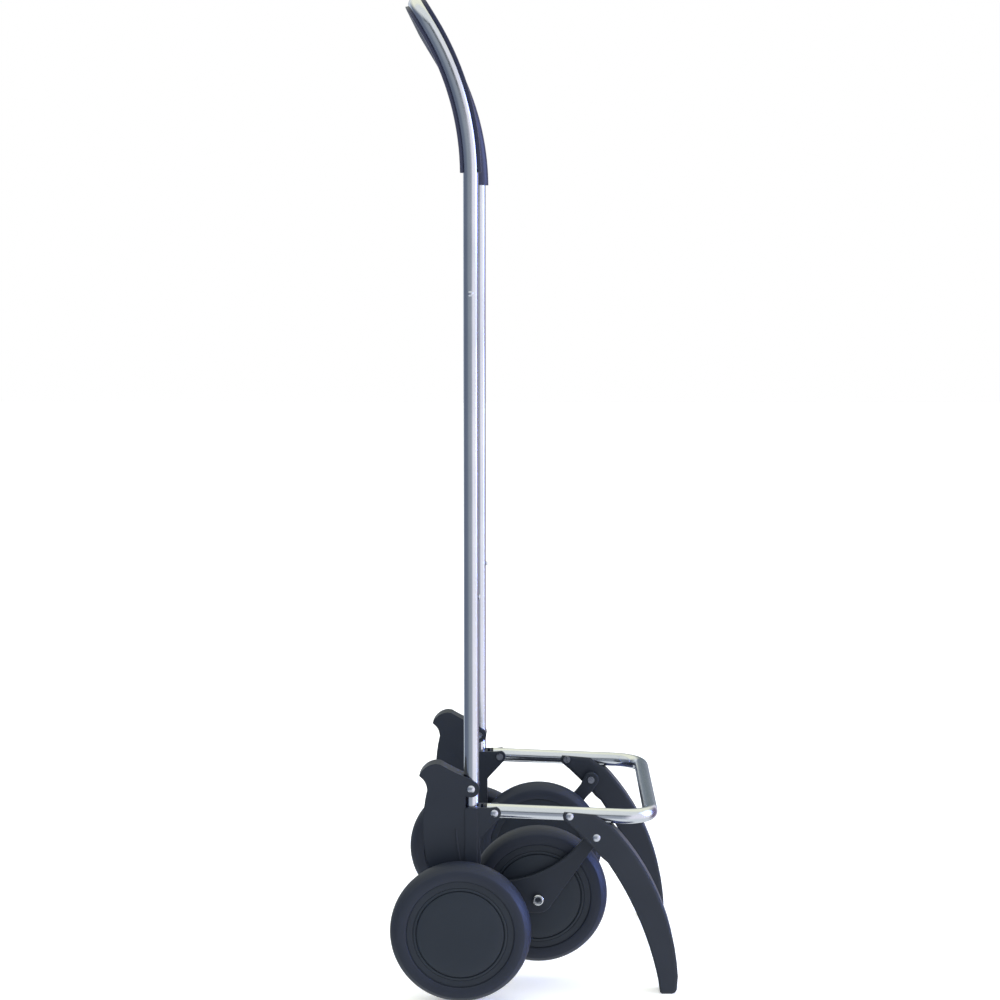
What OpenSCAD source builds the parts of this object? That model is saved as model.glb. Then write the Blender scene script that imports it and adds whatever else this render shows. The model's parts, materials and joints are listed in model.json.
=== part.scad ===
// Folding shopping trolley chassis: hooped handle, two moulded side brackets, a U-shaped base bar,
// two folding legs, and a front wheel carrier that swings up as the frame folds.
// +X is forward, +Y is the trolley's left, +Z is up, in millimetres.

/* [Overall] */
// Height of the handle above the floor
handle_height = 1056; // [875:1:1150]
// Distance between the middles of the two upright tubes
frame_w = 286.4; // [260:0.1:345]

/* [Tubes] */
// Outer diameter of the upright, handle and base bar tube
tube_d = 16; // [13:0.1:19.5]
// Wall of every tube
tube_wall = 1.2; // [1:0.1:2]
// Radius of the handle's backward curve
curve_r = 295; // [260:5:340]
// How far the handle turns back
curve_angle = 31.5; // [20:0.1:35]
// Corner radius of the handle
handle_corner_r = 28; // [22:1:40]
// Corner radius of the base bar
corner_r = 32; // [24:1:40]
// Wall of the grip
grip_wall = 3.25; // [1.5:0.25:3.5]
// Half of the angle that the grip leaves open on the outside of the tube
grip_gap = 70; // [50:1:85]
// Overlap of the handle's reduced end inside the upright
spigot_l = 55; // [40:1:70]
// Distance from the start of the handle's curve down to the joint in the tube
joint_drop = 111; // [80:1:130]

/* [Wheels] */
// Diameter of every wheel
wheel_d = 150; // [125:1:180]
// Width of every tyre
tyre_w = 30; // [25:1:33]
// Room between a side bracket and the rear wheel beside it
rear_gap = 10; // [4:0.5:20]
// Room between a carrier arm and the front wheel beside it
front_gap = 1.5; // [1:0.1:6]
// Outer radius of the wheel rim, where the tyre sits
rim_r = 57; // [50:0.5:60]
// Radius of the crown across the tread
crown_r = 20; // [18:1:30]
// Diameter of the axles
axle_d = 8; // [6:0.5:10]

/* [Mouldings] */
// Overall width of a side bracket and of a leg
bracket_w = 24; // [22:0.4:28.8]
// Side walls of the brackets and legs
outer_wall = 3.3; // [2.5:0.1:4]
// Rim around the brackets and legs
web = 3.2; // [2.5:0.1:4.5]
// Thickness of the wheel carrier arms
arm_t = 7; // [5:0.5:7.5]
// Gap between an arm and the moulding beside it
arm_gap = 0.5; // [0.4:0.1:1]

/* [Fasteners] */
// Diameter of the rivet shanks
rivet_d = 5; // [4:0.5:6]
// Diameter of the rivet heads
rivet_head_d = 8; // [7:0.5:9]
// Diameter of the pins that the arms swing on
pin_d = 8; // [6:0.5:9]
// Radial clearance where a part turns on a shaft
run_fit = 0.05; // [0.02:0.01:0.09]

/* [Hidden] */

$fn = 96;
eps = 0.01;
seam = 0.01;
seen_blue = "#333b46";
seen_metal = "#b9c0c9";

// Radii
tube_r = tube_d / 2;
bore_r = tube_r - tube_wall;
wheel_r = wheel_d / 2;
axle_r = axle_d / 2;
rivet_r = rivet_d / 2;
pin_r = pin_d / 2;

// Planes across the trolley, as distances from its middle
tube_y = frame_w / 2;
moulding_in = tube_y - bracket_w / 2 - 0.2;
moulding_out = tube_y + bracket_w / 2 - 0.2;
tube_gap = 0.5;
slot_in = tube_y - tube_r - tube_gap;
slot_out = tube_y + tube_r + tube_gap;
arm_out = moulding_in - arm_gap;
arm_in = arm_out - arm_t;
rear_y = moulding_out + rear_gap + tyre_w / 2;
front_y = arm_in - front_gap - tyre_w / 2;

// Places in side view, as [x, z] from the middle of the rear axle
upright_x = 10.5;
bar_slope = 2.1;
clamp_p = [upright_x, 147];
bar_p = [upright_x + tube_r + 16.8, 120.9];
bar_x = function (d) bar_p + [d * cos(bar_slope), -d * sin(bar_slope)];
leg_p = bar_x(80.2);
link_p = leg_p + [28.7, -23.1];
arm_p = [0, axle_r + 16];
front_p = [wheel_r + axle_r + 3, 21.3];
sleeve_top = 126.8;
sleeve_foot = 45;
rib_top = [-6.4, 104];
rib_foot = [0.8, 60];
rib_sag = -1.6;
rib_w = 1.6;
toe_x = leg_p[0] + 116.5;
toe_l = 20.2;
toe_r = 6.5;
floor_z = -wheel_r;

// Handle
curve_rise = curve_r * sin(curve_angle) + handle_corner_r * cos(curve_angle);
curve_z = handle_height - wheel_r - tube_r - curve_rise;
joint_z = curve_z - joint_drop;
spigot_r = bore_r - 0.1;
button_z = joint_z - 12;
button_r = 3;
stud_z = 352;
grip_start = 0.5;

// Base bar
bar_tail = 8.2;
plug_l = 4;
bar_reach = 168;

// Hollow ends of the front axle, and the rings on them
axle_hole_r = axle_r - 0.7;
axle_hole_l = 12;
ring_r = axle_r + 2.1;
ring_l = 6.5;

// Rivets
head_h = 1.5;
head_r = rivet_head_d / 2;

// Wheel hub, measured outward from the wheel's middle plane
hub_in = -tyre_w / 2 + 1;
rear_hub_out = 7.5;
front_hub_out = arm_in - front_y - 0.5;
hub_r = 12;
cap_r = rim_r - 7.8;

function arc(c, r, a, b, n = 8) = [
    for (i = [0:n]) c + r * [cos(a + (b - a) * i / n), sin(a + (b - a) * i / n)]
];

// Points of a bowed line from p to q, whose middle stands off to the left by sag
function bow(p, q, sag, n = 8) =
    let (d = q - p, c = norm(d), s = abs(sag), r = (c * c / 4 + s * s) / (2 * s))
    let (left = [-d[1], d[0]] / c, mid = (p + q) / 2 - left * sign(sag) * (r - s))
    let (a = atan2(p[1] - mid[1], p[0] - mid[0]), half = 2 * asin(c / (2 * r)))
    arc(mid, r, a, a - sign(sag) * half, n);

module in_place() {
    translate([-(toe_x - wheel_r) / 2, 0, wheel_r])
        children();
}

// Draws a right-hand part, or its mirror image for the left
module side(left) {
    mirror([0, left ? 1 : 0, 0])
        children();
}

module both_sides() {
    side(false)
        children();
    side(true)
        children();
}

// A side-view outline given thickness between two distances from the middle, on the right
module slab(near, far) {
    translate([0, -near, 0])
        rotate([90, 0, 0])
            linear_extrude(far - near)
                children();
}

// A round bar along Y between two distances from the middle, on the right
module rod(p, r, near, far) {
    translate([p[0], -near, p[1]])
        rotate([90, 0, 0])
            cylinder(r = r, h = far - near);
}

module tube_ring() {
    difference() {
        circle(tube_r);
        circle(bore_r);
    }
}

// Rivet with a low dome outside at far and a flat head inside at near
module rivet(p, near, far, outer_r) {
    rod(p, rivet_r, near, far);
    rod(p, outer_r, near - 1.4, near);
    dome(p, outer_r, far);
}

module dome(p, r, y) {
    ball = (r * r + head_h * head_h) / (2 * head_h);
    translate([p[0], -y, p[1]])
        rotate([90, 0, 0])
            rotate_extrude()
                intersection() {
                    translate([0, head_h - ball])
                        circle(ball);
                    square([r, head_h]);
                }
}

// ---- Handle ----

// Sweeps a section, whose +x faces out of the hoop, along the curve from an angle to the top
module hoop_sweep(from) {
    both_sides() {
        translate([upright_x - curve_r, -tube_y, curve_z])
            rotate([90, 0, 0])
                rotate([0, 0, from])
                    rotate_extrude(angle = curve_angle - from)
                        translate([curve_r, 0])
                            rotate(90)
                                children();
        hoop_end()
            translate([0, -tube_y + handle_corner_r, 0])
                rotate([90, 0, -90])
                    rotate_extrude(angle = 90)
                        translate([handle_corner_r, 0])
                            children();
    }
    hoop_end()
        translate([0, 0, handle_corner_r])
            rotate([90, 0, 0])
                linear_extrude(2 * (tube_y - handle_corner_r), center = true)
                    rotate(90)
                        children();
}

// Moves to the upper end of the curve, with local Z along the tube
module hoop_end() {
    translate([upright_x - curve_r * (1 - cos(curve_angle)), 0, curve_z + curve_r * sin(curve_angle)])
        rotate([0, -curve_angle, 0])
            translate([0, 0, seam])
                children();
}

module handle_loop() {
    color(seen_metal)
        in_place()
            difference() {
                union() {
                    hoop_sweep(0)
                        tube_ring();
                    both_sides()
                        translate([upright_x, -tube_y, 0]) {
                            translate([0, 0, joint_z + 2])
                                linear_extrude(curve_z - joint_z - 2)
                                    tube_ring();
                            translate([0, 0, joint_z])
                                spigot_ring(tube_r, 2);
                            translate([0, 0, joint_z - spigot_l])
                                spigot_ring(spigot_r, spigot_l);
                        }
                }
                both_sides()
                    rod([upright_x, button_z], button_r, tube_y, moulding_out);
            }
}

module spigot_ring(r, h) {
    difference() {
        cylinder(r = r, h = h);
        translate([0, 0, -eps])
            cylinder(r = spigot_r - tube_wall, h = h + 2 * eps);
    }
}

module handle_grip() {
    color("#3a3f5c")
        in_place()
            hoop_sweep(grip_start)
                difference() {
                    circle(tube_r + grip_wall);
                    circle(tube_r);
                    polygon([
                        [0, 0],
                        [2 * tube_r, -2 * tube_r * tan(grip_gap)],
                        [2 * tube_r, 2 * tube_r * tan(grip_gap)]
                    ]);
                }
}

module upright(left) {
    color(seen_metal)
        in_place()
            side(left)
                difference() {
                    translate([upright_x, -tube_y, sleeve_foot])
                        linear_extrude(joint_z - sleeve_foot)
                            tube_ring();
                    rod(clamp_p, rivet_r, moulding_in, moulding_out);
                    rod([upright_x, button_z], button_r, tube_y, moulding_out);
                    stud_shank();
                }
}

// Push button on a bent leaf that sits inside the joint
module joint_buttons() {
    leaf_t = 0.6;
    leaf_w = 6;
    leaf_l = 30;
    leaf_out = spigot_r - tube_wall - 1.3;
    color("silver")
        in_place()
            both_sides()
                translate([upright_x, -tube_y, button_z]) {
                    rotate([90, 0, 0])
                        cylinder(r = button_r, h = tube_r);
                    dome([0, 0], button_r, tube_r);
                    translate([-leaf_w / 2, 0, 0])
                        rotate([90, 0, 90])
                            linear_extrude(leaf_w)
                                polygon([
                                    [-leaf_out, 6],
                                    [-leaf_out, -6],
                                    [leaf_out - leaf_t, -leaf_l],
                                    [leaf_out, -leaf_l],
                                    [leaf_t - leaf_out, -5.5],
                                    [leaf_t - leaf_out, 6]
                                ]);
                }
}

module stud_shank() {
    translate([upright_x + tube_r - 3, -tube_y, stud_z])
        rotate([0, 90, 0])
            cylinder(r = 1.5, h = 4);
}

// Small screws in the fronts of the uprights, which the bag is fixed to
module bag_studs() {
    color("silver")
        in_place()
            both_sides() {
                stud_shank();
                translate([upright_x + tube_r + 0.2, -tube_y, stud_z])
                    rotate([0, 90, 0])
                        cylinder(r1 = 2.8, r2 = 2, h = 1.8);
            }
}

// ---- Side brackets ----

// Rear hook, clamping ear, sleeve, base bar ear and axle boss, seen from the side
function bracket_outline() = concat(
    arc([0, 0], 15, 200, 345),
    [[upright_x + tube_r + 1.7, 38], [upright_x + tube_r + 1.7, 94]],
    arc(bar_p, 7, -41, 72),
    [[30.6, sleeve_top], [upright_x - 6, sleeve_top], [upright_x - 6, clamp_p[1] - 7.8]],
    arc(clamp_p, 8.8, -105, 68, 10),
    bow([upright_x + 1, 157.1], [-22.5, 173.6], 0.8, 4),
    bow([-27, 174.3], [-44.9, 161.2], -3.2, 6),
    bow([-43.6, 160], [-36.6, 148], 1.5, 4),
    bow([-36.4, 146], [-35.6, 64.6], -5, 8)
);

// The hollow between the two side walls, open at the lower back beside the wheel
function bracket_hollow() = concat(
    [[-13, 18], [-2, 31], [upright_x - tube_r - 3, 44], [upright_x - tube_r - 3, 158.2]],
    bow([-6, 162.4], [-22.5, 170.2], 0.8, 4),
    [[-32, 169], [-33.4, 150]],
    bow([-33.2, 146], [-32.4, 66], -5, 8),
    [[-50, 58], [-34, -4]]
);

module bracket(left) {
    reach = bracket_w + 2;
    color(seen_blue)
        in_place()
            side(left)
                difference() {
                    union() {
                        slab(moulding_in, moulding_out)
                            polygon(bracket_outline());
                        // Raised front of the sleeve, and the rib behind it
                        slab(moulding_out - 1, moulding_out + 1)
                            translate([upright_x - 6.6, 60])
                                square([13.2, sleeve_top - 60]);
                        slab(moulding_out - 1, moulding_out + 0.8)
                            polygon(concat(
                                bow(rib_top, rib_foot, rib_sag, 6),
                                bow(rib_foot + [rib_w, 0], rib_top + [rib_w, 0], -rib_sag, 6)
                            ));
                    }
                    slab(moulding_in + outer_wall, moulding_out - outer_wall)
                        polygon(bracket_hollow());
                    slab(slot_in, slot_out)
                        translate([upright_x - tube_r - 0.3, sleeve_top])
                            square([60, 60]);
                    slab(slot_in, slot_out)
                        translate([upright_x + tube_r + 1.9, 60])
                            square([60, 80]);
                    translate([upright_x, -tube_y, sleeve_foot])
                        cylinder(r = tube_r, h = 100);
                    rod(clamp_p, rivet_r, moulding_in - 1, moulding_in + reach);
                    rod(bar_p, rivet_r, moulding_in - 1, moulding_in + reach);
                    rod(arm_p, pin_r, moulding_in - 1, moulding_out - 5);
                    rod([0, 0], axle_r, moulding_in - 1, moulding_in + reach);
                }
}

module upright_rivets() {
    color("silver")
        in_place()
            both_sides()
                rivet(clamp_p, moulding_in, moulding_out, head_r);
}

module bar_hinge_rivets() {
    color("silver")
        in_place()
            both_sides()
                rivet(bar_p, moulding_in, moulding_out, head_r);
}

module arm_pivot_pins() {
    color("silver")
        in_place()
            both_sides() {
                rod(arm_p, pin_r, arm_in - 0.1, moulding_out - 5);
                rod(arm_p, pin_r + 2, arm_in - 1.4, arm_in - 0.1);
            }
}

module rear_axle() {
    end = rear_y + rear_hub_out + 2;
    color("silver")
        in_place()
            rod([0, 0], axle_r, -end, end);
}

module rear_spacers() {
    color("dimgray")
        in_place()
            both_sides()
                difference() {
                    rod([0, 0], 9, moulding_out, rear_y + hub_in - 0.3);
                    rod([0, 0], axle_r, moulding_out - 1, rear_y);
                }
}

// Push-on caps that hold the rear wheels on, under the hubcaps
module rear_axle_caps() {
    start = rear_y + rear_hub_out + 0.3;
    color("silver")
        in_place()
            both_sides()
                difference() {
                    rod([0, 0], axle_r + 4, start, start + 2.6);
                    rod([0, 0], axle_r, start - 1, rear_y + rear_hub_out + 2);
                }
}

// ---- Base bar ----

module bar_frame() {
    translate([bar_p[0], 0, bar_p[1]])
        rotate([0, bar_slope, 0])
            children();
}

module base_bar() {
    color(seen_metal)
        in_place()
            difference() {
                bar_frame() {
                    both_sides() {
                        translate([-bar_tail, -tube_y, 0])
                            rotate([90, 0, 90])
                                linear_extrude(bar_reach - corner_r + bar_tail)
                                    tube_ring();
                        translate([bar_reach - corner_r, corner_r - tube_y, 0])
                            rotate([0, 0, -90])
                                rotate_extrude(angle = 90)
                                    translate([corner_r, 0])
                                        tube_ring();
                    }
                    translate([bar_reach, 0, 0])
                        rotate([90, 0, 0])
                            linear_extrude(2 * (tube_y - corner_r), center = true)
                                tube_ring();
                }
                both_sides() {
                    rod(bar_p, rivet_r + run_fit, moulding_in, moulding_out);
                    rod(leg_p, rivet_r, moulding_in, moulding_out);
                }
            }
}

// Closed ends of the base bar, each with a stem that the hinge rivet passes through
module bar_end_plugs() {
    color("#20242c")
        in_place()
            difference() {
                bar_frame()
                    both_sides()
                        translate([-bar_tail, -tube_y, 0])
                            rotate([0, 90, 0]) {
                                cylinder(r = bore_r, h = bar_tail + 9);
                                translate([0, 0, 1.5 - plug_l])
                                    cylinder(r = tube_r, h = plug_l - 1.5);
                                translate([0, 0, -plug_l])
                                    cylinder(r1 = tube_r - 1.5, r2 = tube_r, h = 1.5);
                            }
                both_sides()
                    rod(bar_p, rivet_r + run_fit, moulding_in, moulding_out);
            }
}

module leg_hinge_rivets() {
    color("silver")
        in_place()
            both_sides()
                rivet(leg_p, moulding_in, moulding_out, head_r);
}

// ---- Legs ----

// A bowed leg from the ear on the base bar down to the toe, seen from the side
function leg_back(inset = 0) = bow(
    leg_p + [40.5, -49.5] + [inset, inset],
    [toe_x - toe_l + inset, floor_z + 10],
    7.5,
    10
);

function leg_front(inset = 0) = bow(
    [toe_x - inset, floor_z + 19],
    leg_p + [42.9, -8.4] - [inset * 0.75, inset * 1.2],
    -16.6,
    12
);

function leg_outline() = concat(
    arc(leg_p, 7.2, 142, 208),
    bow(leg_p + [-5.9, -4.1], leg_p + [34.5, -44.5], 1.3, 4),
    leg_back(),
    [[toe_x - toe_l + 0.9, floor_z + 2], [toe_x - toe_l + 2.9, floor_z]],
    arc([toe_x - 1 - toe_r, floor_z + toe_r], toe_r, -90, -10),
    leg_front(),
    [leg_p + [33.6, -3.1], leg_p + [28.3, 1.6]]
);

module leg(left) {
    reach = bracket_w + 2;
    color(seen_blue)
        in_place()
            side(left)
                difference() {
                    slab(moulding_in, moulding_out)
                        polygon(leg_outline());
                    // Channel behind the front web, open backward
                    slab(moulding_in + outer_wall, moulding_out - outer_wall)
                        polygon(concat(
                            leg_back(-30),
                            [[toe_x - web - 1.3, floor_z + 10]],
                            leg_front(web),
                            [link_p + [12, 0], link_p + [12, -12]]
                        ));
                    // Room for the base bar between the two ears
                    slab(slot_in, slot_out)
                        polygon([
                            leg_p + [-30, 40],
                            leg_p + [-30, -70],
                            link_p + [13, -30],
                            link_p + [17, 8],
                            leg_p + [44, -tube_r - 1.8],
                            leg_p + [60, -tube_r - 2.2],
                            leg_p + [60, 40]
                        ]);
                    rod(leg_p, rivet_r + run_fit, moulding_in - 1, moulding_in + reach);
                    rod(link_p, rivet_r, moulding_in - 1, moulding_in + reach);
                }
}

module leg_link_rivet(left) {
    color("silver")
        in_place()
            side(left) {
                rod(link_p, rivet_r, moulding_in, moulding_out);
                dome(link_p, head_r, moulding_out);
            }
}

// ---- Front wheel carrier ----

function arm_outline() = concat(
    arc(arm_p, 12, 95, 262, 12),
    arc(front_p, 16, -97, -25),
    bow(link_p + [-9.1, -26], link_p + [1, -14.5], 0.4, 3),
    arc(link_p, 9, -45, 135, 12),
    bow(link_p + [-12.4, -6.4], [front_p[0] - 31, front_p[1] + 20], 9.2, 10)
);

module arm(left) {
    color("#2e343f")
        in_place()
            side(left)
                difference() {
                    slab(arm_in, arm_out)
                        polygon(arm_outline());
                    rod(arm_p, pin_r + run_fit, arm_in - 1, arm_out + 1);
                    rod(front_p, axle_r, arm_in - 1, arm_out + 1);
                    rod(link_p, rivet_r, arm_in - 1, arm_out + 1);
                }
}

// The arms' halves of the link rivets, which end at the gap beside the legs
module arm_link_rivets() {
    color("silver")
        in_place()
            both_sides() {
                rod(link_p, rivet_r, arm_in, arm_out);
                rod(link_p, head_r, arm_in - 1.2, arm_in);
            }
}

// The front axle is a bar with a deep hole in each end
module front_axle() {
    color("silver")
        in_place()
            difference() {
                rod(front_p, axle_r, -arm_out - ring_l + 1, arm_out + ring_l - 1);
                both_sides()
                    rod(front_p, axle_hole_r, arm_out - axle_hole_l, arm_out + ring_l);
            }
}

// Bright rings pressed on the front axle's ends
module front_axle_caps() {
    color("white")
        in_place()
            both_sides()
                difference() {
                    union() {
                        rod(front_p, ring_r, arm_out, arm_out + ring_l - 1);
                        translate([front_p[0], -arm_out - ring_l + 1, front_p[1]])
                            rotate([90, 0, 0])
                                cylinder(r1 = ring_r, r2 = ring_r - 1, h = 1);
                    }
                    rod(front_p, axle_r, arm_out - 1, arm_out + ring_l + 1);
                }
}

module front_stop_rings() {
    color("dimgray")
        in_place()
            both_sides()
                difference() {
                    rod(front_p, 9, front_y + hub_in - 4.4, front_y + hub_in - 0.4);
                    rod(front_p, axle_r, front_y + hub_in - 6, front_y);
                }
}

// ---- Wheels ----

// Moves a wheel drawn about Z, with its outer face upward, to the side of the trolley
module wheel_at(p, y, left) {
    in_place()
        side(left)
            translate([p[0], -y, p[1]])
                rotate([90, 0, 0])
                    children();
}

module tyre(p, y, left) {
    color("#272c34")
        wheel_at(p, y, left)
            rotate_extrude()
                intersection() {
                    translate([wheel_r - crown_r, 0])
                        circle(crown_r);
                    translate([rim_r, -tyre_w / 2])
                        square([wheel_r, tyre_w]);
                }
}

// Dished rim: barrel, web near the inner face, ribs and hub
module rim(p, y, left, hub_out) {
    face = tyre_w / 2 - 2;
    color("#39424d")
        wheel_at(p, y, left)
            difference() {
                union() {
                    rotate_extrude()
                        polygon([
                            [rim_r - 7, -face],
                            [rim_r, -face],
                            [rim_r, face],
                            [rim_r - 7, face],
                            [rim_r - 7, 7 - face],
                            [hub_r, 7 - face],
                            [hub_r, 4 - face],
                            [rim_r - 7, 4 - face]
                        ]);
                    translate([0, 0, hub_in])
                        cylinder(r = hub_r, h = hub_out - hub_in);
                    for (a = [0:60:300])
                        rotate([0, 0, a])
                            translate([hub_r - 2, -1.2, 4 - face])
                                cube([rim_r - 7 - hub_r + 3, 2.4, 10]);
                }
                translate([0, 0, hub_in - 1])
                    cylinder(r = axle_r + run_fit, h = hub_out - hub_in + 2);
            }
}

// Smooth cap snapped into the rim, with a hole where the hub reaches through
module hubcap(p, y, left, hole_r) {
    face = tyre_w / 2 - 1.6;
    color("#323a45")
        wheel_at(p, y, left)
            rotate_extrude()
                difference() {
                    polygon([
                        [0, face + 1.2],
                        [cap_r - 12, face + 0.8],
                        [cap_r - 2, face],
                        [cap_r, face - 1],
                        [cap_r, face - 3],
                        [cap_r - 1.4, face - 3],
                        [cap_r - 1.4, face - 8],
                        [rim_r - 7, face - 9],
                        [rim_r - 7, face - 10],
                        [cap_r - 3.2, face - 10],
                        [cap_r - 3.2, face - 2.4],
                        [cap_r - 12, face - 1.2],
                        [0, face - 0.8]
                    ]);
                    translate([-eps, 0])
                        square([hole_r + eps, tyre_w]);
                }
}

module rear_part(kind, left) {
    if (kind == "rim")
        rim([0, 0], rear_y, left, rear_hub_out);
    if (kind == "tyre")
        tyre([0, 0], rear_y, left);
    if (kind == "hubcap")
        hubcap([0, 0], rear_y, left, 0);
}

module front_part(kind, left) {
    if (kind == "rim")
        rim(front_p, front_y, left, front_hub_out);
    if (kind == "tyre")
        tyre(front_p, front_y, left);
    if (kind == "hubcap")
        hubcap(front_p, front_y, left, hub_r + 0.8);
}

handle_loop();
handle_grip();
upright(true);  // upright_left
upright(false);  // upright_right
joint_buttons();
bag_studs();
bracket(true);  // bracket_left
bracket(false);  // bracket_right
upright_rivets();
bar_hinge_rivets();
arm_pivot_pins();
rear_axle();
rear_spacers();
rear_axle_caps();
base_bar();
bar_end_plugs();
leg_hinge_rivets();
leg(true);  // leg_left
leg(false);  // leg_right
leg_link_rivet(true);  // leg_link_rivet_left
leg_link_rivet(false);  // leg_link_rivet_right
arm(true);  // arm_left
arm(false);  // arm_right
arm_link_rivets();
front_axle();
front_axle_caps();
front_stop_rings();
rear_part("rim", true);  // rear_left_rim
rear_part("tyre", true);  // rear_left_tyre
rear_part("hubcap", true);  // rear_left_hubcap
rear_part("rim", false);  // rear_right_rim
rear_part("tyre", false);  // rear_right_tyre
rear_part("hubcap", false);  // rear_right_hubcap
front_part("rim", true);  // front_left_rim
front_part("tyre", true);  // front_left_tyre
front_part("hubcap", true);  // front_left_hubcap
front_part("rim", false);  // front_right_rim
front_part("tyre", false);  // front_right_tyre
front_part("hubcap", false);  // front_right_hubcap
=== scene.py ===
import json
import math

import bmesh
import bpy
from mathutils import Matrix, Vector


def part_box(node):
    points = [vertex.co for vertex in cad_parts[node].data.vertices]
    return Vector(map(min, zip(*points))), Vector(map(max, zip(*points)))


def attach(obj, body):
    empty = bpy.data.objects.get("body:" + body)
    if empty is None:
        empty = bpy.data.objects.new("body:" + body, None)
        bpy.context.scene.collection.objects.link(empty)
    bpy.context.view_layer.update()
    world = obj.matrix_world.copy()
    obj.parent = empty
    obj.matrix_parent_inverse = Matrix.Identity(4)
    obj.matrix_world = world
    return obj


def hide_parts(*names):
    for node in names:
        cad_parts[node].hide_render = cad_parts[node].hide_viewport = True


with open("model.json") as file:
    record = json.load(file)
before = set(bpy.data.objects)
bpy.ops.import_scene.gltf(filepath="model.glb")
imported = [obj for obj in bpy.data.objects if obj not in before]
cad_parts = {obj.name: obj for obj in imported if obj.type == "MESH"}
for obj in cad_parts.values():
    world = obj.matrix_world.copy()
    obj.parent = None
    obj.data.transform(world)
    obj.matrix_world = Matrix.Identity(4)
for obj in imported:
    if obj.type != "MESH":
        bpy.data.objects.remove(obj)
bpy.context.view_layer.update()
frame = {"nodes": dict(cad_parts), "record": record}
nodes = frame["nodes"]
scene = bpy.context.scene
mm = 0.001


def sRgb(code):
    # hex colour as it looks on screen, turned to the linear values that shaders use
    parts = [int(code[i:i + 2], 16) / 255 for i in (1, 3, 5)]
    return tuple(c / 12.92 if c <= 0.04045 else ((c + 0.055) / 1.055) ** 2.4 for c in parts) + (1.0,)


def addNode(tree, kind, settings=None, links=None):
    # settings are properties or input values; links are input name -> output socket
    made = tree.nodes.new(kind)
    for name, value in (settings or {}).items():
        if isinstance(name, str) and hasattr(made, name):
            setattr(made, name, value)
        else:
            made.inputs[name].default_value = value
    for name, source in (links or {}).items():
        tree.links.new(source, made.inputs[name])
    return made


def newMaterial(name):
    made = bpy.data.materials.new(name)
    made.use_nodes = True
    made.node_tree.nodes.clear()
    return made, made.node_tree


def finishMaterial(tree, shader):
    addNode(tree, "ShaderNodeOutputMaterial", links={"Surface": shader.outputs[0]})


def ramp(tree, source, low, high, atLow=0.0, atHigh=1.0):
    # low at atLow, high at atHigh, and clamped beyond both
    made = addNode(tree, "ShaderNodeMapRange",
                   {"From Min": atLow, "From Max": atHigh, "To Min": low, "To Max": high}, {"Value": source})
    return made.outputs["Result"]


def mixColour(tree, share, first, second):
    # first and second are hex colours or sockets
    made = addNode(tree, "ShaderNodeMix", {"data_type": "RGBA"}, {"Factor": share})
    for socket, value in ((6, first), (7, second)):
        if isinstance(value, str):
            made.inputs[socket].default_value = sRgb(value)
        else:
            tree.links.new(value, made.inputs[socket])
    return made.outputs[2]


tubeLook = {
    "bright": "#dcdfe5", "dull": "#c3c8d0",
    "drawLineMm": 0.9, "cloudMm": 60, "stretch": 0.02,
    "roughLow": 0.13, "roughHigh": 0.24,
    "bumpMm": 0.1, "bumpStrength": 0.03,
}


def polishedAluminium():
    # aluminium tube, drawn then bright-dipped: mirror-like along its length, softly streaked round it
    made, tree = newMaterial("polishedAluminiumTube")
    where = addNode(tree, "ShaderNodeTexCoord").outputs["Object"]
    cloud = addNode(tree, "ShaderNodeTexNoise", {"Scale": 1000 / tubeLook["cloudMm"], "Detail": 4.0},
                    {"Vector": where})
    streakPlace = addNode(tree, "ShaderNodeMapping", {"Scale": (1.0, 1.0, tubeLook["stretch"])}, {"Vector": where})
    streak = addNode(tree, "ShaderNodeTexNoise", {"Scale": 1000 / tubeLook["drawLineMm"], "Detail": 2.0},
                     {"Vector": streakPlace.outputs[0]})
    tone = mixColour(tree, cloud.outputs["Fac"], tubeLook["bright"], tubeLook["dull"])
    rough = ramp(tree, streak.outputs["Fac"], tubeLook["roughLow"], tubeLook["roughHigh"], 0.3, 0.7)
    bump = addNode(tree, "ShaderNodeBump",
                   {"Strength": tubeLook["bumpStrength"], "Distance": tubeLook["bumpMm"] * mm},
                   {"Height": streak.outputs["Fac"]})
    shader = addNode(tree, "ShaderNodeBsdfPrincipled", {"Metallic": 1.0},
                     {"Base Color": tone, "Roughness": rough, "Normal": bump.outputs["Normal"]})
    finishMaterial(tree, shader)
    return made


def mouldedPlastic(look):
    # injection-moulded plastic: even colour, faint flow clouds, a fine spark-eroded grain that breaks up the gloss
    made, tree = newMaterial(look["name"])
    where = addNode(tree, "ShaderNodeTexCoord").outputs["Object"]
    cloud = addNode(tree, "ShaderNodeTexNoise", {"Scale": 1000 / plasticCloudMm, "Detail": 5.0}, {"Vector": where})
    grain = addNode(tree, "ShaderNodeTexNoise", {"Scale": 1000 / look["grainMm"], "Detail": 3.0}, {"Vector": where})
    tone = mixColour(tree, cloud.outputs["Fac"], *look["colours"])
    rough = ramp(tree, cloud.outputs["Fac"], *look["rough"], 0.3, 0.7)
    edge = addNode(tree, "ShaderNodeBevel", {"samples": 6, "Radius": look.get("edgeMm", 0.8) * mm})
    bump = addNode(tree, "ShaderNodeBump", {"Strength": 0.25, "Distance": look.get("bumpMm", 0.02) * mm},
                   {"Height": grain.outputs["Fac"], "Normal": edge.outputs["Normal"]})
    shader = addNode(tree, "ShaderNodeBsdfPrincipled",
                     {"IOR": look.get("ior", 1.49), "Specular IOR Level": look.get("gloss", 0.4)},
                     {"Base Color": tone, "Roughness": rough, "Normal": bump.outputs["Normal"]})
    finishMaterial(tree, shader)
    return made


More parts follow.
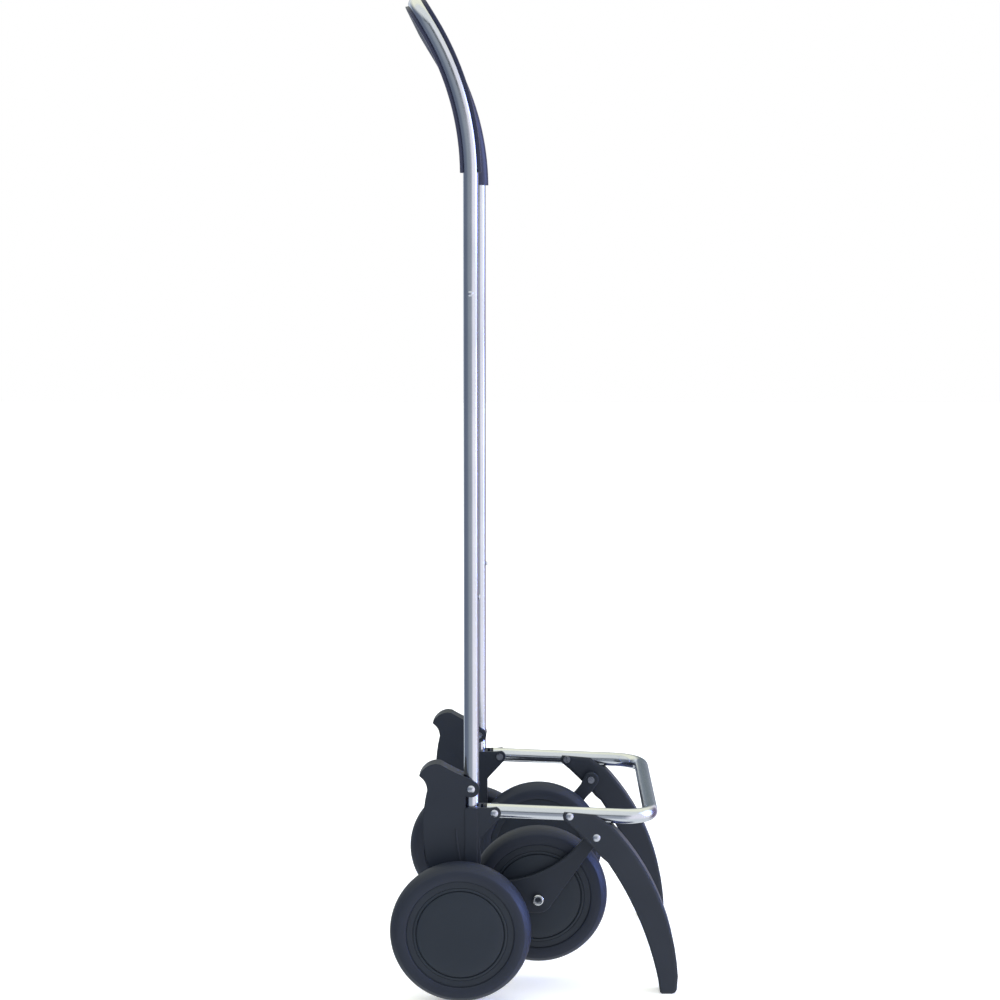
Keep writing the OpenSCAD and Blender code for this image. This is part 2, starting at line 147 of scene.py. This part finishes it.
def platedSteel(look):
    # steel with a thin plated coat: bright, slightly mottled
    made, tree = newMaterial(look["name"])
    where = addNode(tree, "ShaderNodeTexCoord").outputs["Object"]
    cloud = addNode(tree, "ShaderNodeTexNoise", {"Scale": 1000 / steelMottleMm, "Detail": 4.0}, {"Vector": where})
    tone = mixColour(tree, cloud.outputs["Fac"], *look["colours"])
    rough = ramp(tree, cloud.outputs["Fac"], *look["rough"], 0.3, 0.7)
    shader = addNode(tree, "ShaderNodeBsdfPrincipled", {"Metallic": 1.0},
                     {"Base Color": tone, "Roughness": rough})
    finishMaterial(tree, shader)
    return made


plasticCloudMm = 55.5556
steelMottleMm = 4.54545

# edgeMm is the radius that the shading rounds sharp edges to
plasticLooks = {
    # dark navy and fairly glossy, so that the grip shows as blue beside the tube
    "grip_plastic": {"name": "gripPolypropylene", "colours": ("#262a40", "#30354e"), "grainMm": 0.8,
                     "rough": (0.30, 0.42)},
    # blue-black and finely grained, with soft light along its edges
    "moulded_plastic": {"name": "mouldedPolypropylene", "colours": ("#1c222c", "#232934"), "grainMm": 0.7,
                        "rough": (0.40, 0.52), "edgeMm": 1.2},
    # the same plastic on the legs, whose wide round front edge catches a long highlight
    "legRoundedEdge": {"name": "mouldedPolypropyleneRoundedLeg", "colours": ("#1c222c", "#232934"),
                       "grainMm": 0.7, "rough": (0.36, 0.46), "edgeMm": 6.0, "gloss": 0.5},
    # a flat, even black behind the hubcap
    "rim_plastic": {"name": "rimPolypropylene", "colours": ("#1c222b", "#232a34"), "grainMm": 0.7,
                    "rough": (0.42, 0.52)},
    # a smooth disc with a faint sheen, set off by its groove
    "hubcap_plastic": {"name": "hubcapPolypropylene", "colours": ("#1c232c", "#222a34"), "grainMm": 0.6,
                       "rough": (0.40, 0.50)},
    # duller and softer than the plastics, with a coarser grain
    "tyre_rubber": {"name": "tyreRubber", "colours": ("#1f242f", "#252b37"), "grainMm": 1.1,
                    "rough": (0.46, 0.58), "bumpMm": 0.04, "ior": 1.5, "edgeMm": 0.5, "gloss": 0.3},
    # near black, so that spacers and plugs recede
    "black_nylon": {"name": "blackNylon", "colours": ("#15171b", "#1c1f25"), "grainMm": 0.6,
                    "rough": (0.35, 0.50)},
    # painted shade: a near-black finish inside the drilled ends of the axle, so that they read as black dots
    "paintedShadeHole": {"name": "paintedShadeSteelHole", "colours": ("#0b0c0f", "#14161a"), "grainMm": 0.5,
                    "rough": (0.50, 0.70)},
}
steelLooks = {
    # pale zinc on the rivets, bright dots against the plastic
    "rivet_steel": {"name": "zincPlatedSteel", "colours": ("#dadde6", "#b9becb"), "rough": (0.22, 0.36)},
    # duller drawn rod between the wheels
    "axle_steel": {"name": "drawnSteelRod", "colours": ("#b4b9c1", "#8f959e"), "rough": (0.28, 0.40)},
    # the bright ring round each end of the front axle
    "bright_ring": {"name": "nickelPlatedRing", "colours": ("#e4e6ea", "#c8ccd2"), "rough": (0.14, 0.24)},
}
materials = {"polished_tube": polishedAluminium()}
materials.update({slot: mouldedPlastic(look) for slot, look in plasticLooks.items()})
materials.update({slot: platedSteel(look) for slot, look in steelLooks.items()})
print("materials ready")

slotOf = {row["node"]: row["material_slot"] for row in frame["record"]["subparts"]}
for name, obj in nodes.items():
    obj.data.materials.clear()
    obj.data.materials.append(materials[slotOf[name]])

def addPiece(name, mesh, node, extra=()):
    # stands in for a CAD node, rides on its body and takes its finish
    made = bpy.data.objects.new(name, mesh)
    scene.collection.objects.link(made)
    mesh.materials.clear()
    mesh.materials.append(materials[slotOf[node]])
    for other in extra:
        mesh.materials.append(other)
    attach(made, bodyOf[node])
    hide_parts(node)
    return made


def cleanCopy(node):
    # the CAD surface with its triangles joined back into flat faces, ready for a bevel
    bm = bmesh.new()
    bm.from_mesh(nodes[node].data)
    bmesh.ops.remove_doubles(bm, verts=bm.verts, dist=0.01 * mm)
    bmesh.ops.dissolve_limit(bm, angle_limit=math.radians(0.6), verts=bm.verts, edges=bm.edges)
    bmesh.ops.recalc_face_normals(bm, faces=bm.faces)
    return bm


def softenNode(node, look):
    # moulded edges: a small real radius on every sharp edge
    bm = cleanCopy(node)
    weight = bm.edges.layers.float.get("bevel_weight_edge") or bm.edges.layers.float.new("bevel_weight_edge")
    for edge in bm.edges:
        if len(edge.link_faces) != 2:
            continue
        if edge.calc_face_angle(0) > math.radians(look["sharpDeg"]):
            edge[weight] = 1.0
    vertices = [tuple(v.co) for v in bm.verts]
    bm.verts.index_update()
    faces = [[v.index for v in face.verts] for face in bm.faces]
    keys = {tuple(sorted((e.verts[0].index, e.verts[1].index))): e[weight] for e in bm.edges}
    bm.free()
    mesh = bpy.data.meshes.new(node + "Soft")
    mesh.from_pydata(vertices, [], faces)
    store = mesh.attributes.new("bevel_weight_edge", "FLOAT", "EDGE")
    for edge in mesh.edges:
        store.data[edge.index].value = keys.get(tuple(sorted(edge.vertices)), 0.0)
    mesh.shade_smooth()
    made = addPiece(node + "Soft", mesh, node)
    bevel = made.modifiers.new("mouldedEdges", "BEVEL")
    bevel.limit_method = "WEIGHT"
    bevel.width = look["edgeMm"] * mm
    bevel.segments = look["segments"]
    bevel.use_clamp_overlap = False
    bevel.loop_slide = False
    even = made.modifiers.new("flatFaces", "WEIGHTED_NORMAL")
    even.keep_sharp = False
    return made


def lathe(name, profile, centre, side, node, steps):
    # profile is (radius, distance outward from the wheel's middle plane) in mm, closed in a ring
    bm = bmesh.new()
    rings = []
    for radius, out in profile:
        count = steps if radius > 0.01 else 1
        ring = []
        for k in range(count):
            turn = 2 * math.pi * k / steps
            ring.append(bm.verts.new((centre[0] + radius * mm * math.cos(turn), centre[1] + side * out * mm,
                                      centre[2] + radius * mm * math.sin(turn))))
        rings.append(ring)
    for first, second in zip(rings, rings[1:] + (rings[:1] if len(rings[0]) > 1 and len(rings[-1]) > 1 else [])):
        for k in range(steps):
            a, b = first[k % len(first)], first[(k + 1) % len(first)]
            c, d = second[(k + 1) % len(second)], second[k % len(second)]
            corners = [v for n, v in enumerate((a, b, c, d)) if v not in (a, b, c, d)[:n]]
            if len(corners) > 2:
                bm.faces.new(corners)
    bmesh.ops.recalc_face_normals(bm, faces=bm.faces)
    mesh = bpy.data.meshes.new(name)
    bm.to_mesh(mesh)
    bm.free()
    mesh.shade_smooth()
    mesh.set_sharp_from_angle(angle=math.radians(50))
    return addPiece(name, mesh, node)


bodyOf = {node: body for body, members in frame["record"]["behaviour"]["bodies"].items() for node in members}
armLook = {"edgeMm": 1.3, "segments": 3, "sharpDeg": 32}
rimLook = {"edgeMm": 0.5, "segments": 2, "sharpDeg": 40}
ringLook = {"edgeMm": 0.6, "segments": 3, "sharpDeg": 40}

for side in ("left", "right"):
    nodes["leg_" + side].data.materials[0] = materials["legRoundedEdge"]
    softenNode("arm_" + side, armLook)
softenNode("front_axle_caps", ringLook)
print("mouldings softened")

# wheel sections, as (radius, distance outward) in mm from the wheel's middle
tyreLook = {"crownMm": 20, "halfWidthMm": 15, "beadMm": 57, "seamMm": 0.18, "lineDeg": (0, 36),
            "lineHalfDeg": 0.9, "crownSteps": 60, "turnSteps": 192}
capLook = {"grooveMm": 46.6, "edgeMm": 49.9, "grooveDeepMm": 1.5, "domeMm": 14.5,
           "frontHoleMm": 12.8, "turnSteps": 144}


def tyreProfile(look, outerMm):
    middle = outerMm - look["crownMm"]
    bead, half = look["beadMm"], look["halfWidthMm"]
    flank = [(bead, half - 1.8), (bead + 0.3, half - 0.7), (bead + 1.4, half - 0.1), (bead + 6, half)]
    top = math.degrees(math.asin(half / look["crownMm"]))
    crown = []
    for n in range(look["crownSteps"] + 1):
        turn = top - n * top / look["crownSteps"]
        dip = sum(look["seamMm"] * max(0.0, 1 - abs(turn - at) / look["lineHalfDeg"])
                  for at in look["lineDeg"])
        reach = look["crownMm"] - dip
        crown.append((middle + reach * math.cos(math.radians(turn)), reach * math.sin(math.radians(turn))))
    upper = flank + crown
    return upper + [(radius, -out) for radius, out in reversed(upper[:-1])]


def capProfile(look, holeMm):
    groove, edge, face = look["grooveMm"], look["edgeMm"], look["domeMm"]
    deep = look["grooveDeepMm"]
    start = [(holeMm, face - 0.1)] if holeMm else [(0, face)]
    front = start + [(20, face - 0.12), (34, face - 0.4), (groove - 1.6, face - 0.75), (groove - 0.8, face - 0.95),
                     (groove - 0.25, face - 0.9 - deep), (groove + 0.25, face - 0.9 - deep),
                     (groove + 0.8, face - 1.1), (groove + 1.6, face - 1.1), (edge - 0.4, face - 1.2),
                     (edge, face - 1.7)]
    back = [(edge, face - 4), (edge - 2, face - 4.2), (edge - 2, face - 9), (edge, face - 10),
            (edge, face - 11), (edge - 3.2, face - 11), (edge - 3.2, face - 3.8), (34, face - 2.4),
            (holeMm, face - 2.2)]
    return front + back


for place in ("rear_left", "rear_right", "front_left", "front_right"):
    low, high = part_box(place + "_tyre")
    centre = (low + high) / 2
    outward = 1 if centre.y > 0 else -1
    hole = capLook["frontHoleMm"] if place.startswith("front") else 0
    outerMm = (high.z - low.z) / 2 / mm
    lathe(place + "_tyreTurned", tyreProfile(tyreLook, outerMm), centre, outward, place + "_tyre",
          tyreLook["turnSteps"])
    lathe(place + "_capTurned", capProfile(capLook, hole), centre, outward, place + "_hubcap",
          capLook["turnSteps"])
    softenNode(place + "_rim", rimLook)
print("wheels turned")


drillLook = {"radiusMm": 3.6, "inwardMm": 100, "endMm": 0.5}


def darkHoles(node, look):
    # the walls and floors of the blind holes in the axle's ends get a near-black finish, painted shade, so they
    # read as black
    bm = cleanCopy(node)
    low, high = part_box(node)
    middle = (low + high) / 2
    for face in bm.faces:
        spot = face.calc_center_median() - middle
        drilled = math.hypot(spot.x, spot.z) < look["radiusMm"] * mm
        if drilled and look["inwardMm"] * mm < abs(spot.y) < high.y - look["endMm"] * mm:
            # painted shade: faces inside the bore take the near-black second material
            face.material_index = 1
        face.smooth = abs(face.normal.y) < 0.5
    mesh = bpy.data.meshes.new(node + "Drilled")
    bm.to_mesh(mesh)
    bm.free()
    if "custom_normal" in mesh.attributes:
        mesh.attributes.remove(mesh.attributes["custom_normal"])
    return addPiece(node + "Drilled", mesh, node, [materials["paintedShadeHole"]])


darkHoles("front_axle", drillLook)
print("axle drilled")

floor = bpy.data.meshes.new("studioFloor")
floorObject = bpy.data.objects.new("studioFloor", floor)
scene.collection.objects.link(floorObject)
bm = bmesh.new()
bmesh.ops.create_grid(bm, x_segments=1, y_segments=1, size=12)
bm.to_mesh(floor)
bm.free()
floorLook, tree = newMaterial("studioFloor")
paleFloor = addNode(tree, "ShaderNodeBsdfPrincipled",
                    {"Base Color": sRgb("#fafbfc"), "Roughness": 0.7,
                     "Emission Color": sRgb("#ffffff"), "Emission Strength": 0.35})
finishMaterial(tree, paleFloor)
floor.materials.append(floorLook)

# what the bright metal mirrors: a white room whose left side is dark and whose right side is lit
studioLook = {
    "round": [(0.0, "#656f77"), (0.04, "#78818a"), (0.06, "#e4e9ef"), (0.10, "#c9d2dc"),
              (0.17, "#666f80"), (0.33, "#6c7585"), (0.40, "#8f979f"),
              (0.53, "#a4a9b2"), (0.585, "#fbf8ff"), (0.79, "#fffbff"), (0.825, "#766a80"), (0.90, "#766a80"),
              (0.94, "#f4f0fa"), (0.96, "#78818a"), (1.0, "#656f77")],
    "ceiling": "#e9ece8", "ceilingBack": "#ffffe6", "ground": "#e6eaec", "lens": "#5b6164",
    "fill": 1.2,
    # ranges of the viewing direction's Z or Y over which each part of the room fades in
    "roofRise": (0.28, 0.62), "groundDrop": (-0.66, -0.42), "backWall": (-0.05, 0.2),
    "lensLower": (0.12, 0.17), "lensUpper": (0.33, 0.4), "lensFront": (-0.9, -0.75),
}


def makeStudio(look):
    room = bpy.data.worlds.new("studioRoom")
    scene.world = room
    room.use_nodes = True
    tree = room.node_tree
    tree.nodes.clear()
    aim = addNode(tree, "ShaderNodeTexCoord").outputs["Generated"]
    part = addNode(tree, "ShaderNodeSeparateXYZ", links={"Vector": aim}).outputs
    flip = addNode(tree, "ShaderNodeMath", {"operation": "MULTIPLY", 1: -1.0}, {0: part["Y"]})
    turn = addNode(tree, "ShaderNodeMath", {"operation": "ARCTAN2"}, {0: part["X"], 1: flip.outputs[0]})
    share = ramp(tree, turn.outputs[0], 0.0, 1.0, -math.pi, math.pi)
    bands = addNode(tree, "ShaderNodeValToRGB", links={"Fac": share})
    stops = bands.color_ramp.elements
    for index, (at, code) in enumerate(look["round"]):
        stop = stops[index] if index < 2 else stops.new(at)
        stop.position = at
    for stop, (at, code) in zip(stops, look["round"]):
        stop.position, stop.color = at, sRgb(code)
    rise = ramp(tree, part["Z"], 0.0, 1.0, *look["roofRise"])
    drop = ramp(tree, part["Z"], 1.0, 0.0, *look["groundDrop"])
    behind = ramp(tree, part["Y"], 0.0, 1.0, *look["backWall"])
    roof = mixColour(tree, behind, look["ceiling"], look["ceilingBack"])
    lensUp = ramp(tree, part["Z"], 0.0, 1.0, *look["lensLower"])
    lensDown = ramp(tree, part["Z"], 1.0, 0.0, *look["lensUpper"])
    lensFront = ramp(tree, part["Y"], 1.0, 0.0, *look["lensFront"])
    lens = addNode(tree, "ShaderNodeMath", {"operation": "MULTIPLY"}, {0: lensUp, 1: lensDown})
    lens = addNode(tree, "ShaderNodeMath", {"operation": "MULTIPLY"}, {0: lens.outputs[0], 1: lensFront})
    wall = mixColour(tree, lens.outputs[0], bands.outputs["Color"], look["lens"])
    upper = mixColour(tree, rise, wall, roof)
    whole = mixColour(tree, drop, upper, look["ground"])
    seen = addNode(tree, "ShaderNodeBackground", {"Strength": look["fill"]}, {"Color": whole})
    plain = addNode(tree, "ShaderNodeBackground", {"Color": sRgb("#ffffff"), "Strength": 1.0})
    ray = addNode(tree, "ShaderNodeLightPath")
    pick = addNode(tree, "ShaderNodeMixShader", links={0: ray.outputs["Is Camera Ray"], 1: seen.outputs[0],
                                                       2: plain.outputs[0]})
    addNode(tree, "ShaderNodeOutputWorld", links={"Surface": pick.outputs[0]})


def areaLight(name, look):
    data = bpy.data.lights.new(name, "AREA")
    data.shape = "RECTANGLE"
    data.size, data.size_y = look["size"]
    data.energy = look["power"]
    data.color = sRgb(look["colour"])[:3]
    if "spreadDeg" in look:
        data.spread = math.radians(look["spreadDeg"])
    made = bpy.data.objects.new(name, data)
    made.location = look["place"]
    aim = Vector(look["target"]) - Vector(look["place"])
    made.rotation_euler = aim.to_track_quat("-Z", "Y").to_euler()
    made.visible_glossy = look.get("mirrored", True)
    scene.collection.objects.link(made)


# the soft boxes light the scene without being mirrored in the metal
lightLooks = {
    "topSoftbox": {"place": (0, 0, 3.2), "target": (0, 0, 0), "size": (3.0, 3.0), "power": 30,
                   "colour": "#ffffff", "mirrored": False},
    "frontSoftbox": {"place": (-0.4, -3.4, 1.0), "target": (0, 0, 0.35), "size": (2.4, 1.6), "power": 24,
                     "colour": "#f0f3ff", "mirrored": False},
    "blueWindow": {"place": (2.2, 0.2, 1.3), "target": (0.1, 0, 0.15), "size": (1.8, 1.1), "power": 24,
                   "colour": "#86a0ff"},
    # a narrow blue beam near the floor that only the legs and wheels catch
    "legBeam": {"place": (2.2, 0.1, 0.32), "target": (0.1, 0, 0.0), "size": (1.5, 0.6), "power": 3.2,
                "colour": "#7f9cff", "spreadDeg": 30},
}
makeStudio(studioLook)
for name, look in lightLooks.items():
    areaLight(name, look)
floorObject.visible_glossy = False
print("studio ready")

cameraLook = {"sensorMm": 36, "lensMm": 79.477, "place": (0.0089537, -2.462674, 0.753653),
              "downRad": 0.096, "turnRad": 0.020}
cameraData = bpy.data.cameras.new("camera")
camera = bpy.data.objects.new("camera", cameraData)
scene.collection.objects.link(camera)
cameraData.sensor_width = cameraLook["sensorMm"]
cameraData.lens = cameraLook["lensMm"]
camera.location = cameraLook["place"]
camera.rotation_euler = (math.pi / 2 - cameraLook["downRad"], 0, cameraLook["turnRad"])
scene.camera = camera
scene.view_settings.view_transform = "Standard"
print("camera ready")
